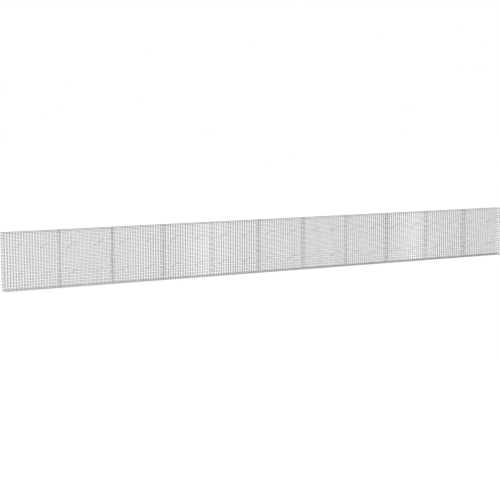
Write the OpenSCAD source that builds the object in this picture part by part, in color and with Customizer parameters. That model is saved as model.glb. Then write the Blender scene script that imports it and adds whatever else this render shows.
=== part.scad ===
// Gabion fence: one straight row of empty baskets made of welded wire mesh.
// +X runs along the fence, -Y is the front and +Z is up.
// The origin is the middle of the fence on the ground.

/* [Fence] */
// Number of bays in the row
bays = 11; // [2:1:11]
// Width of one bay, from the middle of a divider to the next
bay_w = 1000; // [500:50:1500]
// Height of the fence
fence_h = 1000; // [500:50:1500]
// Depth of the fence, over the front and the back mesh
fence_d = 210; // [150:10:500]

/* [Mesh] */
// Thickness of the mesh wires
wire = 5; // [3:0.5:6]
// Spacing of the uprights, and of the long wires in the base
upright_pitch = 100; // [75:5:200]
// Spacing of the level bars, and of the cross bars in the base
level_pitch = 100; // [75:5:200]
// How deep two crossing wires are welded into each other
weld = 1; // [0.5:0.25:1.5]
// Height of the stiff bar along each top edge
rim_h = 8; // [5:0.5:15]

/* [Ties] */
// Thickness of the rods that tie the front to the back
tie_rod = 4; // [3:0.5:6]
// Number of ties side by side in a bay
tie_cols = 2; // [1:1:3]
// Number of ties above each other in a bay
tie_rows = 2; // [1:1:3]
// Number of level bars that a tie climbs from the back to the front
tie_climb = 1; // [0:1:2]
// Clear space between a tie and the uprights beside it
tie_gap = 13; // [5:1:25]
// Length of the hook that hangs down at each end of a tie
hook_l = 25; // [10:5:50]
// Clear space between a hook and the bar that it hangs on
hook_gap = 0.3; // [0.2:0.1:0.6]

/* [Hidden] */

// Two crossing layers of wire, less the depth of their weld
layer = wire - weld;
panel_t = layer + wire;
// Half the clear space between the front and the back mesh
inner_y = fence_d / 2 - panel_t;
// Number of gaps between uprights, level bars and the wires of the base
bay_gaps = round(bay_w / upright_pitch);
level_gaps = round(fence_h / level_pitch);
depth_gaps = max(2, round(fence_d / upright_pitch));
cross_gaps = round(bay_w / level_pitch);
bay_step = bay_w / bay_gaps;
level_step = (fence_h - wire) / level_gaps;
depth_step = fence_d / depth_gaps;
cross_step = bay_w / cross_gaps;

// A tie climbs over the top edges of its two level bars, clear of both
tie_r = tie_rod / 2;
tie_slope = tie_climb * level_step / (fence_d - wire);
tie_lift = (tie_r + hook_gap) * sqrt(1 + tie_slope * tie_slope);
hook_y = fence_d / 2 + tie_r + hook_gap;
// Half the way that a tie goes to the right, from the back to the front
tie_lean = bay_step / 2 - wire / 2 - tie_r - tie_gap;

// Middle of divider k, where 0 is the left end and the last is the right end
function line_x(k) = (k - bays / 2) * bay_w;
// Faces of divider k, whose uprights stand on the side of its bay
function divider_lo(k) = line_x(k) - wire / 2 - (k == bays ? layer : 0);
function divider_hi(k) = line_x(k) + wire / 2 + (k == bays ? 0 : layer);
// Middle of the gap between two uprights, at a share of bay k's width
function gap_x(k, share) = line_x(k - 1) + (floor(share * bay_gaps) + 0.5) * bay_step;
// Top of the level bar under a share of the fence's height
function bar_top(share) = floor(share * level_gaps) * level_step + wire;

// Level bars, uprights and top bar of bay k in the front mesh
module mesh_bay(k) {
    lo = line_x(k - 1) - wire / 2;
    hi = line_x(k) + (k == bays ? wire / 2 : -wire / 2);
    for (i = [0:level_gaps - 1])
        translate([lo, -fence_d / 2, i * level_step]) cube([hi - lo, wire, wire]);
    for (j = [0:bay_gaps - (k == bays ? 0 : 1)])
        translate([lo + j * bay_step, -fence_d / 2 + layer, 0]) cube([wire, wire, fence_h]);
    translate([lo, -fence_d / 2, fence_h - rim_h]) cube([hi - lo, panel_t, rim_h]);
}

module front_panel(k) {
    color("silver") mesh_bay(k);
}

module back_panel(k) {
    color("silver") mirror([0, 1, 0]) mesh_bay(k);
}

// Bars from the front to the back, with uprights beside them
module divider(k) {
    upright_x = k == bays ? divider_lo(k) : divider_hi(k) - wire;
    color("silver") {
        for (i = [0:level_gaps])
            translate([line_x(k) - wire / 2, -inner_y, i * level_step])
                cube([wire, 2 * inner_y, wire]);
        for (j = [1:depth_gaps - 1])
            translate([upright_x, j * depth_step - fence_d / 2 - wire / 2, 0])
                cube([wire, wire, fence_h]);
    }
}

// Long wires on the ground in bay k, with cross bars on them
module base_panel(k) {
    lo = divider_hi(k - 1);
    hi = divider_lo(k);
    for (j = [0:depth_gaps])
        translate([lo, -inner_y + j * (2 * inner_y - wire) / depth_gaps, 0])
            cube([hi - lo, wire, wire]);
    for (i = [1:cross_gaps - 1])
        translate([line_x(k - 1) + i * cross_step - wire / 2, -inner_y, layer])
            cube([wire, 2 * inner_y, wire]);
}

module base_panels() {
    color("silver") for (k = [1:bays]) base_panel(k);
}

// A straight eight-sided bar from a to b, a little past both
module bar(a, b) {
    way = b - a;
    flat = norm([way.x, way.y]);
    translate(a) rotate([0, atan2(flat, way.z), atan2(way.y, way.x)])
        translate([0, 0, -tie_r / 2])
            cylinder(h = norm(way) + tie_r, r = tie_r, $fn = 8);
}

// A rod that lies on two level bars, with a hook down the outside at each end
module tie() {
    front = [tie_lean, -hook_y,
        tie_climb * level_step + tie_lift + tie_slope * (hook_y - fence_d / 2 + wire)];
    back = [-tie_lean, hook_y, tie_lift - tie_slope * (hook_y - fence_d / 2)];
    bar(back, front);
    for (p = [front, back]) bar(p, p - [0, 0, hook_l]);
}

module spacer_ties() {
    color("gray") for (k = [1:bays], i = [1:tie_cols], j = [1:tie_rows])
        translate([gap_x(k, (i - 0.5) / tie_cols), 0, bar_top((j - 0.5) / tie_rows)]) tie();
}

for (k = [1:bays]) front_panel(k);
for (k = [1:bays]) back_panel(k);
divider(0);  // end_panel_left
for (k = [1:bays - 1]) divider(k);
divider(bays);  // end_panel_right
base_panels();
spacer_ties();
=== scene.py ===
# %% [markdown]
# # A gabion fence of welded wire mesh
# A gabion fence is a row of wire baskets that are filled with stones where they stand. This one is empty:
# front and back meshes, a mesh divider between each pair of bays, mesh on the ground, and thin rods that
# tie the front to the back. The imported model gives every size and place, and this file gives the looks.

import math

import bpy
from mathutils import Matrix, Vector


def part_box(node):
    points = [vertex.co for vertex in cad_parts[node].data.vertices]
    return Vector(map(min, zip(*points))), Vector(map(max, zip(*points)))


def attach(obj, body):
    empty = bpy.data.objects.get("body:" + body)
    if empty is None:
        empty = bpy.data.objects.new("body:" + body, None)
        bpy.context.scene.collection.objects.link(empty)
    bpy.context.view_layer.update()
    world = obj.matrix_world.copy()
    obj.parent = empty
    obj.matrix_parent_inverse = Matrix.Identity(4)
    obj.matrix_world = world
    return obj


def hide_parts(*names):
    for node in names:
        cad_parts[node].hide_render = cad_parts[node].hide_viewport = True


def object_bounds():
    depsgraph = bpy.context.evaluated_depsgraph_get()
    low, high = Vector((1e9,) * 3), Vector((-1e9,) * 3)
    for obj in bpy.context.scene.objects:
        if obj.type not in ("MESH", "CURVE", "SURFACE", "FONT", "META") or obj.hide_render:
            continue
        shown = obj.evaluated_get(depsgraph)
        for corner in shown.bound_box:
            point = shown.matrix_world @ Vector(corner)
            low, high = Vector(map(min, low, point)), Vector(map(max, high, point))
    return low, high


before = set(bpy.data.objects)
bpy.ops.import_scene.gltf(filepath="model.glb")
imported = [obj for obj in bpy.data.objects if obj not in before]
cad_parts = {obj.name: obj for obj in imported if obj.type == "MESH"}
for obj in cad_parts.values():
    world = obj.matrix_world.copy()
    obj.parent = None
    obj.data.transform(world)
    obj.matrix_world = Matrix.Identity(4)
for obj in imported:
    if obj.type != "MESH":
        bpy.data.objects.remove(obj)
cad_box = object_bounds()
print("pieces in the packed model:", len(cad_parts))

# %% [markdown]
# ## Sizes
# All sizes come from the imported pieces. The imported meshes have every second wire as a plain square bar.
# The real mesh has 50 mm cells, so each gap between two packed bars gets one more wire.

# %% Read the sizes
MM = 0.001
WIRE_R = 2.5 * MM
WELD = 1.0 * MM
CELL = 50.0 * MM

BAYS = sum(name.startswith("front_panel_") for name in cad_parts)
left_end, right_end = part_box("end_panel_left"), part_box("end_panel_right")
front_box, back_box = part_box("front_panel_1"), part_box("back_panel_1")
FRONT_Y, BACK_Y, TOP_Z = front_box[0].y, back_box[1].y, front_box[1].z
LAYER = 2 * WIRE_R - WELD
PANEL_T = front_box[1].y - front_box[0].y
RIM_R = 0.5 * PANEL_T
FIRST_X = left_end[0].x + WIRE_R
BAY_W = (right_end[1].x - WIRE_R - FIRST_X) / BAYS
INNER_Y = BACK_Y - PANEL_T
BAY_CELLS = round(BAY_W / CELL)
LEVEL_CELLS = round(TOP_Z / CELL)
DEPTH_CELLS = round((BACK_Y - FRONT_Y) / CELL)
LEVEL_STEP = (TOP_Z - 2 * WIRE_R) / LEVEL_CELLS
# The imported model, the dividers and the ties use every second level.
BAR_EVERY = 2
print(f"{BAYS} bays of {BAY_W:.3f} m, {TOP_Z:.3f} m high, {BACK_Y - FRONT_Y:.3f} m deep")
print(f"cells in a bay: {BAY_CELLS} by {LEVEL_CELLS}, and {DEPTH_CELLS} in its depth")

# %% [markdown]
# ## Zinc on steel wire
# The wire is drawn steel with a hot-dip zinc coat. New zinc is bright, but it soon turns a matt, slightly
# cloudy grey, and here and there the dipping leaves it a little thicker and rougher. So the colour and the
# roughness drift along the wire over a few centimetres, and a fine grain breaks up the shine. The weathered
# mesh is a middle grey. The tie rods are paler, as newer zinc is.

# %% One helper for nodes, one for colours
def add(tree, kind, inputs=None, **settings):
    """Adds a node, sets its settings, and sets or links its inputs."""
    node = tree.nodes.new(kind)
    for name, value in settings.items():
        setattr(node, name, value)
    for key, value in (inputs or {}).items():
        for one in value if isinstance(value, list) else [value]:
            if isinstance(one, bpy.types.NodeSocket):
                tree.links.new(one, node.inputs[key])
            else:
                node.inputs[key].default_value = one
    return node


def linear(hex_colour):
    """An sRGB hex colour as linear red, green, blue and alpha."""
    parts = [int(hex_colour[i:i + 2], 16) / 255 for i in (1, 3, 5)]
    return tuple(c / 12.92 if c <= 0.04045 else ((c + 0.055) / 1.055) ** 2.4 for c in parts) + (1.0,)


# %% Hot-dip galvanised wire
ZINC_CLOUD = 30.0 * MM
ZINC_CRYSTAL = 2.0 * MM
GRAIN_DEPTH = 0.2 * MM


def galvanised_wire(name, dull, bright, roughness):
    """Zinc-coated steel wire: matt grey with cloudy patches and a fine grain."""
    material = bpy.data.materials.new(name)
    material.use_nodes = True
    tree = material.node_tree
    shader = tree.nodes["Principled BSDF"]
    shader.inputs["Metallic"].default_value = 0.85
    place = add(tree, "ShaderNodeTexCoord").outputs["Object"]
    # The clouds make the grey drift slowly, and the crystals give it a fine, dry sparkle.
    clouds = add(tree, "ShaderNodeTexNoise", {"Vector": place, "Scale": 1 / ZINC_CLOUD, "Detail": 3.0})
    crystals = add(tree, "ShaderNodeTexNoise", {"Vector": place, "Scale": 1 / ZINC_CRYSTAL, "Detail": 2.0})
    both = add(tree, "ShaderNodeMath", {0: clouds.outputs["Fac"], 1: crystals.outputs["Fac"]},
               operation="ADD")
    tone = add(tree, "ShaderNodeMapRange", {"Value": both.outputs[0], "From Min": 0.7, "From Max": 1.3})
    colour = add(tree, "ShaderNodeMix", {"Factor": tone.outputs[0], "A": linear(dull), "B": linear(bright)},
                 data_type="RGBA")
    tree.links.new(colour.outputs["Result"], shader.inputs["Base Color"])
    rough = add(tree, "ShaderNodeMapRange", {"Value": crystals.outputs["Fac"], "To Min": roughness - 0.1,
                                             "To Max": roughness + 0.1})
    tree.links.new(rough.outputs[0], shader.inputs["Roughness"])
    bump = add(tree, "ShaderNodeBump", {"Height": crystals.outputs["Fac"], "Strength": 0.15,
                                        "Distance": GRAIN_DEPTH})
    tree.links.new(bump.outputs[0], shader.inputs["Normal"])
    return material


mesh_zinc = galvanised_wire("hot_dip_galvanised_mesh_wire", "#5a5b5c", "#6e6f70", 0.5)
tie_zinc = galvanised_wire("hot_dip_galvanised_tie_rod", "#8a8b8c", "#a0a1a2", 0.45)
print("finishes:", mesh_zinc.name, tie_zinc.name)

# %% [markdown]
# ## Welded mesh as a rule
# A welded mesh panel is a rule more than a shape: so many level wires, so many uprights behind them, and a
# weld where each pair crosses. Geometry Nodes suit that. The tree below draws one wire of each kind, sets
# copies of it along a line, and sets one small bead of melted steel on each crossing. One tree serves the
# front, the back, the dividers and the base, with other numbers in its inputs. The bead is a little wider
# than the wire and no higher, so it never sinks below the lowest wire.

# %% The welded mesh tree
PANEL_INPUTS = {
    "Level length": ("NodeSocketFloat", 1.0), "Level step": ("NodeSocketFloat", 0.05),
    "Level count": ("NodeSocketInt", 20), "Upright length": ("NodeSocketFloat", 1.0),
    "Upright step": ("NodeSocketFloat", 0.05), "Upright count": ("NodeSocketInt", 20),
    "First upright": ("NodeSocketFloat", 0.002), "Wire radius": ("NodeSocketFloat", WIRE_R),
    "Layer": ("NodeSocketFloat", LAYER), "Top radius": ("NodeSocketFloat", WIRE_R),
    "Zinc": ("NodeSocketMaterial", mesh_zinc),
}
WIRE_SIDES = 10
BEAD_WIDTH = 1.35
BEAD_SHAPE = (1.0, 0.7, 0.74)
ALONG_X = (0.0, math.pi / 2, 0.0)


def new_tree(name, inputs):
    """An empty Geometry Nodes tree with named inputs. Gives the tree and its input sockets."""
    tree = bpy.data.node_groups.new(name, "GeometryNodeTree")
    for label, (kind, start) in inputs.items():
        tree.interface.new_socket(name=label, in_out="INPUT", socket_type=kind).default_value = start
    tree.interface.new_socket(name="Geometry", in_out="OUTPUT", socket_type="NodeSocketGeometry")
    return tree, add(tree, "NodeGroupInput").outputs


def maths(tree, operation, a, b=0.0):
    return add(tree, "ShaderNodeMath", {0: a, 1: b}, operation=operation).outputs[0]


def vector(tree, x=0.0, y=0.0, z=0.0):
    return add(tree, "ShaderNodeCombineXYZ", {"X": x, "Y": y, "Z": z}).outputs[0]


def welded_mesh_tree():
    """Level wires along X in front, uprights along Z behind them, and a weld bead on each crossing."""
    tree, size = new_tree("welded_mesh", PANEL_INPUTS)
    radius, top = size["Wire radius"], size["Top radius"]
    half_level = maths(tree, "MULTIPLY", size["Level length"], 0.5)
    half_upright = maths(tree, "MULTIPLY", size["Upright length"], 0.5)

    level = add(tree, "GeometryNodeMeshCylinder", {"Vertices": WIRE_SIDES, "Radius": radius,
                                                   "Depth": size["Level length"]})
    levels = add(tree, "GeometryNodeMeshLine", {"Count": size["Level count"],
                                                "Start Location": vector(tree, half_level, 0.0, radius),
                                                "Offset": vector(tree, 0.0, 0.0, size["Level step"])})
    level_wires = add(tree, "GeometryNodeInstanceOnPoints", {"Points": levels.outputs[0],
                                                             "Instance": level.outputs["Mesh"],
                                                             "Rotation": ALONG_X})
    upright = add(tree, "GeometryNodeMeshCylinder", {"Vertices": WIRE_SIDES, "Radius": radius,
                                                     "Depth": size["Upright length"]})
    first = vector(tree, size["First upright"], size["Layer"], half_upright)
    uprights = add(tree, "GeometryNodeMeshLine", {"Count": size["Upright count"], "Start Location": first,
                                                  "Offset": vector(tree, size["Upright step"])})
    upright_wires = add(tree, "GeometryNodeInstanceOnPoints", {"Points": uprights.outputs[0],
                                                               "Instance": upright.outputs["Mesh"]})
    # The top bar may be thicker than the other level wires, and its top stays level with the uprights.
    top_bar = add(tree, "GeometryNodeMeshCylinder", {"Vertices": 2 * WIRE_SIDES, "Radius": top,
                                                     "Depth": size["Level length"]})
    top_place = vector(tree, half_level, maths(tree, "SUBTRACT", top, radius),
                       maths(tree, "SUBTRACT", size["Upright length"], top))
    top_set = add(tree, "GeometryNodeTransform", {"Geometry": top_bar.outputs["Mesh"],
                                                  "Translation": top_place, "Rotation": ALONG_X})
    # One column of crossings is set on each upright's foot.
    bead = add(tree, "GeometryNodeMeshIcoSphere", {"Radius": maths(tree, "MULTIPLY", radius, BEAD_WIDTH),
                                                   "Subdivisions": 1})
    flat_bead = add(tree, "GeometryNodeTransform", {"Geometry": bead.outputs["Mesh"],
                                                    "Scale": BEAD_SHAPE})
    column = add(tree, "GeometryNodeInstanceOnPoints", {"Points": levels.outputs[0],
                                                        "Instance": flat_bead.outputs[0]})
    weld_y = maths(tree, "MULTIPLY", size["Layer"], 0.5)
    centred = add(tree, "GeometryNodeTransform", {
        "Geometry": column.outputs[0],
        "Translation": vector(tree, maths(tree, "MULTIPLY", half_level, -1.0), weld_y)})
    feet = add(tree, "GeometryNodeMeshLine", {"Count": size["Upright count"],
                                              "Start Location": vector(tree, size["First upright"]),
                                              "Offset": vector(tree, size["Upright step"])})
    beads = add(tree, "GeometryNodeInstanceOnPoints", {"Points": feet.outputs[0],
                                                       "Instance": centred.outputs[0]})
    parts = [level_wires.outputs[0], upright_wires.outputs[0], top_set.outputs[0], beads.outputs[0]]
    finish_tree(tree, parts, size["Zinc"])
    return tree


def finish_tree(tree, parts, material):
    """Joins the parts, makes them real and smooth, and gives them their finish."""
    joined = add(tree, "GeometryNodeJoinGeometry", {"Geometry": parts})
    real = add(tree, "GeometryNodeRealizeInstances", {"Geometry": joined.outputs[0]})
    smooth = add(tree, "GeometryNodeSetShadeSmooth", {"Geometry": real.outputs[0]})
    painted = add(tree, "GeometryNodeSetMaterial", {"Geometry": smooth.outputs[0], "Material": material})
    add(tree, "NodeGroupOutput", {"Geometry": painted.outputs[0]})


mesh_tree = welded_mesh_tree()
print("nodes in the welded mesh tree:", len(mesh_tree.nodes))

# %% [markdown]
# ## From the tree to a plain mesh
# A modifier is a live rule, but the finished piece has to be a plain mesh. So each piece gets the modifier
# with its own numbers, Blender works it out once, and only the result is kept.

# %% Make one plain mesh from a tree
def made_by(tree, name, base=None, **values):
    """Runs the tree with these inputs, on a base mesh if there is one, and gives the result as a mesh."""
    helper = bpy.data.objects.new("helper", base or bpy.data.meshes.new("helper"))
    bpy.context.scene.collection.objects.link(helper)
    modifier = helper.modifiers.new("rule", "NODES")
    modifier.node_group = tree
    for item in tree.interface.items_tree:
        label = item.name.replace(" ", "_")
        if item.in_out == "INPUT" and label in values:
            modifier[item.identifier] = values[label]
    seen = helper.evaluated_get(bpy.context.evaluated_depsgraph_get())
    mesh = bpy.data.meshes.new_from_object(seen)
    mesh.name = name
    bpy.data.objects.remove(helper)
    return mesh


def finished(name, mesh, node):
    """Puts a mesh in the scene as the piece that stands for a packed one."""
    piece = bpy.data.objects.new(name, mesh)
    bpy.context.scene.collection.objects.link(piece)
    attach(piece, "root")
    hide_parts(node)
    return piece


# %% [markdown]
# ## Front and back
# The front mesh runs on from bay to bay, with one upright on each bay line. Each bay's piece holds the
# uprights from its own line up to the next, and the last bay has one more, at the end of the fence. The
# back is the front's mirror image. A mirror turns the faces inside out, so they are flipped back.

# %% Front and back panels
def line_x(k):
    """The middle of divider k, where 0 is the left end and a share of a bay may be added."""
    return FIRST_X + k * BAY_W


for k in range(1, BAYS + 1):
    last = k == BAYS
    length = BAY_W + (2 * WIRE_R if last else 0.0)
    mesh = made_by(mesh_tree, f"front_{k}", Level_length=length, Level_step=LEVEL_STEP,
                   Level_count=LEVEL_CELLS, Upright_length=TOP_Z, Upright_step=BAY_W / BAY_CELLS,
                   Upright_count=BAY_CELLS + (1 if last else 0), First_upright=WIRE_R, Top_radius=RIM_R)
    back = mesh.copy()
    back.transform(Matrix.Diagonal((1.0, -1.0, 1.0, 1.0)))
    back.flip_normals()
    mesh.transform(Matrix.Translation((line_x(k - 1) - WIRE_R, FRONT_Y + WIRE_R, 0.0)))
    back.transform(Matrix.Translation((line_x(k - 1) - WIRE_R, BACK_Y - WIRE_R, 0.0)))
    finished(f"front_mesh_{k}", mesh, f"front_panel_{k}")
    finished(f"back_mesh_{k}", back, f"back_panel_{k}")
print("triangles in one bay of the front:", sum(len(p.vertices) - 2 for p in mesh.polygons))

# %% [markdown]
# ## Dividers and ends
# A divider is a narrow mesh between the front and the back. Its level wires reach both meshes and are
# welded to the uprights there, so it has no edge uprights of its own. It carries no stones on its own, so
# its wire is thinner and its level wires are twice as far apart.

# %% Dividers and end panels
DIVIDER_R = 1.75 * MM
DIVIDER_NODES = ["end_panel_left"] + [f"divider_{k}" for k in range(1, BAYS)] + ["end_panel_right"]
for k, node in enumerate(DIVIDER_NODES):
    side = 1 if k == BAYS else -1
    depth_step = (BACK_Y - FRONT_Y) / DEPTH_CELLS
    mesh = made_by(mesh_tree, node, Level_length=2 * INNER_Y, Level_step=BAR_EVERY * LEVEL_STEP,
                   Level_count=LEVEL_CELLS // BAR_EVERY, Upright_length=TOP_Z, Upright_step=depth_step,
                   Upright_count=DEPTH_CELLS - 1, First_upright=depth_step - PANEL_T,
                   Wire_radius=DIVIDER_R, Layer=2 * DIVIDER_R - WELD / 2, Top_radius=DIVIDER_R)
    turn = Matrix.Rotation(side * math.pi / 2, 4, "Z")
    mesh.transform(Matrix.Translation((line_x(k), -side * INNER_Y, 0.0)) @ turn)
    finished(node.replace("panel", "mesh") if "end" in node else f"{node}_mesh", mesh, node)
print("dividers and ends:", len(DIVIDER_NODES))

# %% [markdown]
# ## Base
# The base lies on the ground inside the front and back meshes: long wires below, cross wires on top of
# them. It is the same tree laid flat, one mesh a bay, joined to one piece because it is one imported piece.

# %% Base panels
def joined(meshes, name):
    """Several plain meshes as one."""
    first, *others = [bpy.data.objects.new(m.name, m) for m in meshes]
    for o in (first, *others):
        bpy.context.scene.collection.objects.link(o)
    with bpy.context.temp_override(active_object=first, selected_editable_objects=[first, *others]):
        bpy.ops.object.join()
    mesh = first.data
    mesh.name = name
    bpy.data.objects.remove(first)
    return mesh


LONG_WIRES = DEPTH_CELLS // BAR_EVERY
base_meshes = []
for k in range(1, BAYS + 1):
    # Each bay's base ends where the dividers' wires begin. Their uprights stand on the right of each
    # bay line, except at the right end.
    low = line_x(k - 1) + WIRE_R + LAYER
    high = line_x(k) - WIRE_R - (LAYER if k == BAYS else 0.0)
    mesh = made_by(mesh_tree, f"base_{k}", Level_length=high - low,
                   Level_step=(2 * INNER_Y - 2 * WIRE_R) / LONG_WIRES, Level_count=LONG_WIRES,
                   Upright_length=2 * INNER_Y, Upright_step=BAY_W / BAY_CELLS,
                   Upright_count=BAY_CELLS - 1,
                   First_upright=line_x(k - 1) + BAY_W / BAY_CELLS - low, Top_radius=WIRE_R)
    mesh.transform(Matrix.Translation((low, INNER_Y, WIRE_R)) @ Matrix.Rotation(math.pi / 2, 4, "X"))
    base_meshes.append(mesh)
finished("base_mesh", joined(base_meshes, "base_mesh"), "base_panels")
print("bays of base mesh:", len(base_meshes))

# %% [markdown]
# ## Spacer ties
# Stones push the two meshes apart, so thin rods hold them together. A tie lies on a level wire of the back
# mesh and on the next higher one of the front mesh, and it is bent down over each. A bent rod is a path
# with rounded corners and a round section along it, so the tree turns each path into such a rod.

# %% The bent rod tree
def bent_rod_tree():
    """Each open path of the base mesh becomes a round rod with rounded bends."""
    tree = bpy.data.node_groups.new("bent_rod", "GeometryNodeTree")
    for label, kind, start in (("Geometry", "NodeSocketGeometry", None),
                               ("Rod radius", "NodeSocketFloat", WIRE_R),
                               ("Bend radius", "NodeSocketFloat", 3 * WIRE_R),
                               ("Zinc", "NodeSocketMaterial", tie_zinc)):
        socket = tree.interface.new_socket(name=label, in_out="INPUT", socket_type=kind)
        if start is not None:
            socket.default_value = start
    tree.interface.new_socket(name="Geometry", in_out="OUTPUT", socket_type="NodeSocketGeometry")
    size = add(tree, "NodeGroupInput").outputs
    path = add(tree, "GeometryNodeMeshToCurve", {"Mesh": size["Geometry"]})
    bends = add(tree, "GeometryNodeFilletCurve", {"Curve": path.outputs[0], "Radius": size["Bend radius"],
                                                  "Count": 6}, mode="POLY")
    section = add(tree, "GeometryNodeCurvePrimitiveCircle", {"Resolution": 12,
                                                             "Radius": size["Rod radius"]})
    rod = add(tree, "GeometryNodeCurveToMesh", {"Curve": bends.outputs[0],
                                                "Profile Curve": section.outputs[0], "Fill Caps": True})
    finish_tree(tree, [rod.outputs[0]], size["Zinc"])
    return tree


rod_tree = bent_rod_tree()
print("nodes in the bent rod tree:", len(rod_tree.nodes))

# %% Spacer ties
# The ties lean to one side, so that they miss the uprights that they pass.
TIE_COLUMNS, TIE_ROWS = 2, 2
TIE_R = 2.0 * MM
HOOK = 25.0 * MM
SEAT_GAP = 0.3 * MM
TIE_LEAN = 32.5 * MM

climb = BAR_EVERY * LEVEL_STEP
slope = climb / (BACK_Y - FRONT_Y - 2 * WIRE_R)
out = TIE_R + SEAT_GAP
lift = out * math.sqrt(1 + slope * slope)
front_corner = Vector((TIE_LEAN, FRONT_Y - out, climb + lift + slope * (out + 2 * WIRE_R)))
back_corner = Vector((-TIE_LEAN, BACK_Y + out, lift - slope * out))
hang = Vector((0.0, 0.0, -HOOK))
tie_path = [back_corner + hang, back_corner, front_corner, front_corner + hang]

corners, steps = [], []
for k in range(BAYS):
    for column in range(TIE_COLUMNS):
        for row in range(TIE_ROWS):
            share_x, share_z = (column + 0.5) / TIE_COLUMNS, (row + 0.5) / TIE_ROWS
            under = math.floor(share_z * LEVEL_CELLS / BAR_EVERY) * BAR_EVERY
            place = Vector((line_x(k + share_x), 0.0, under * LEVEL_STEP + 2 * WIRE_R))
            start = len(corners)
            corners += [place + p for p in tie_path]
            steps += [(start + i, start + i + 1) for i in range(len(tie_path) - 1)]
paths = bpy.data.meshes.new("tie_paths")
paths.from_pydata(corners, steps, [])
ties = made_by(rod_tree, "ties", base=paths, Rod_radius=TIE_R, Bend_radius=3 * TIE_R)
finished("tie_rods", ties, "spacer_ties")
print("ties:", len(corners) // len(tie_path), "with", len(ties.polygons), "faces")

# %% [markdown]
# ## Floor, light and camera
# A thin wire mesh shows best on a plain white ground in soft, even light. A large soft lamp on the left in
# front gives the wires a lit side and a shaded side. The sky is plain white. The floor looks white as well
# and still keeps a part of the fence's shadow.

# %% White floor and backdrop
def background_ray(tree):
    """1 where the camera, a mirror or a glass sees this, and 0 for the light that reaches the fence."""
    ray = add(tree, "ShaderNodeLightPath").outputs
    mirror_or_glass = maths(tree, "MAXIMUM", ray["Is Glossy Ray"], ray["Is Transmission Ray"])
    return maths(tree, "MAXIMUM", ray["Is Camera Ray"], mirror_or_glass)


def white_ground(name, shadow_share):
    """White to the camera, with a share of the real light and shadow left in it."""
    material = bpy.data.materials.new(name)
    material.use_nodes = True
    tree = material.node_tree
    tree.nodes.clear()
    matt = add(tree, "ShaderNodeBsdfDiffuse", {"Color": linear("#ffffff")})
    glow = add(tree, "ShaderNodeEmission", {"Color": linear("#ffffff"), "Strength": 1.0})
    share = maths(tree, "MULTIPLY", background_ray(tree), 1.0 - shadow_share)
    both = add(tree, "ShaderNodeMixShader", {0: share, 1: matt.outputs[0], 2: glow.outputs[0]})
    add(tree, "ShaderNodeOutputMaterial", {"Surface": both.outputs[0]})
    return material


GROUND_SIZE = 300.0
SHADOW_SHARE = 0.12
floor_mesh = bpy.data.meshes.new("floor")
half = GROUND_SIZE / 2
floor_mesh.from_pydata([(-half, -half, 0), (half, -half, 0), (half, half, 0), (-half, half, 0)], [],
                       [(0, 1, 2, 3)])
floor = bpy.data.objects.new("floor", floor_mesh)
floor.location.z = cad_box[0][2] - 0.5 * MM
bpy.context.scene.collection.objects.link(floor)
floor.data.materials.append(white_ground("white_paper", SHADOW_SHARE))

scene = bpy.context.scene
scene.view_settings.view_transform = "Standard"
world = bpy.data.worlds.new("studio")
scene.world = world
world.use_nodes = True
sky = world.node_tree
sky.nodes.clear()
white = add(sky, "ShaderNodeBackground", {"Color": linear("#ffffff"), "Strength": 1.0})
add(sky, "ShaderNodeOutputWorld", {"Surface": white.outputs[0]})


FENCE_MIDDLE = Vector((0.0, 0.0, TOP_Z / 2))


def soft_lamp(name, place, size, watts):
    """A square lamp aimed at the middle of the fence."""
    lamp = bpy.data.lights.new(name, "AREA")
    lamp.size = size
    lamp.energy = watts
    thing = bpy.data.objects.new(name, lamp)
    thing.location = place
    thing.rotation_euler = (FENCE_MIDDLE - Vector(place)).to_track_quat("-Z", "Y").to_euler()
    scene.collection.objects.link(thing)


soft_lamp("front_lamp", place=(-9.0, -11.0, 8.0), size=6.0, watts=500.0)
soft_lamp("top_lamp", place=(4.0, 2.0, 11.0), size=8.0, watts=200.0)

# %% The camera
CAMERA_PLACE = (-11.241, -18.994, 2.981)
CAMERA_TURN = math.radians(29.067)
CAMERA_DIP = math.radians(6.686)
LENS_MM = 82.57
lens = bpy.data.cameras.new("camera")
lens.lens = LENS_MM
lens.sensor_width = 36.0
lens.clip_end = 500.0
camera = bpy.data.objects.new("camera", lens)
camera.location = CAMERA_PLACE
camera.rotation_euler = (math.pi / 2 - CAMERA_DIP, 0.0, -CAMERA_TURN)
scene.collection.objects.link(camera)
scene.camera = camera
print("camera", round(LENS_MM, 1), "mm lens")
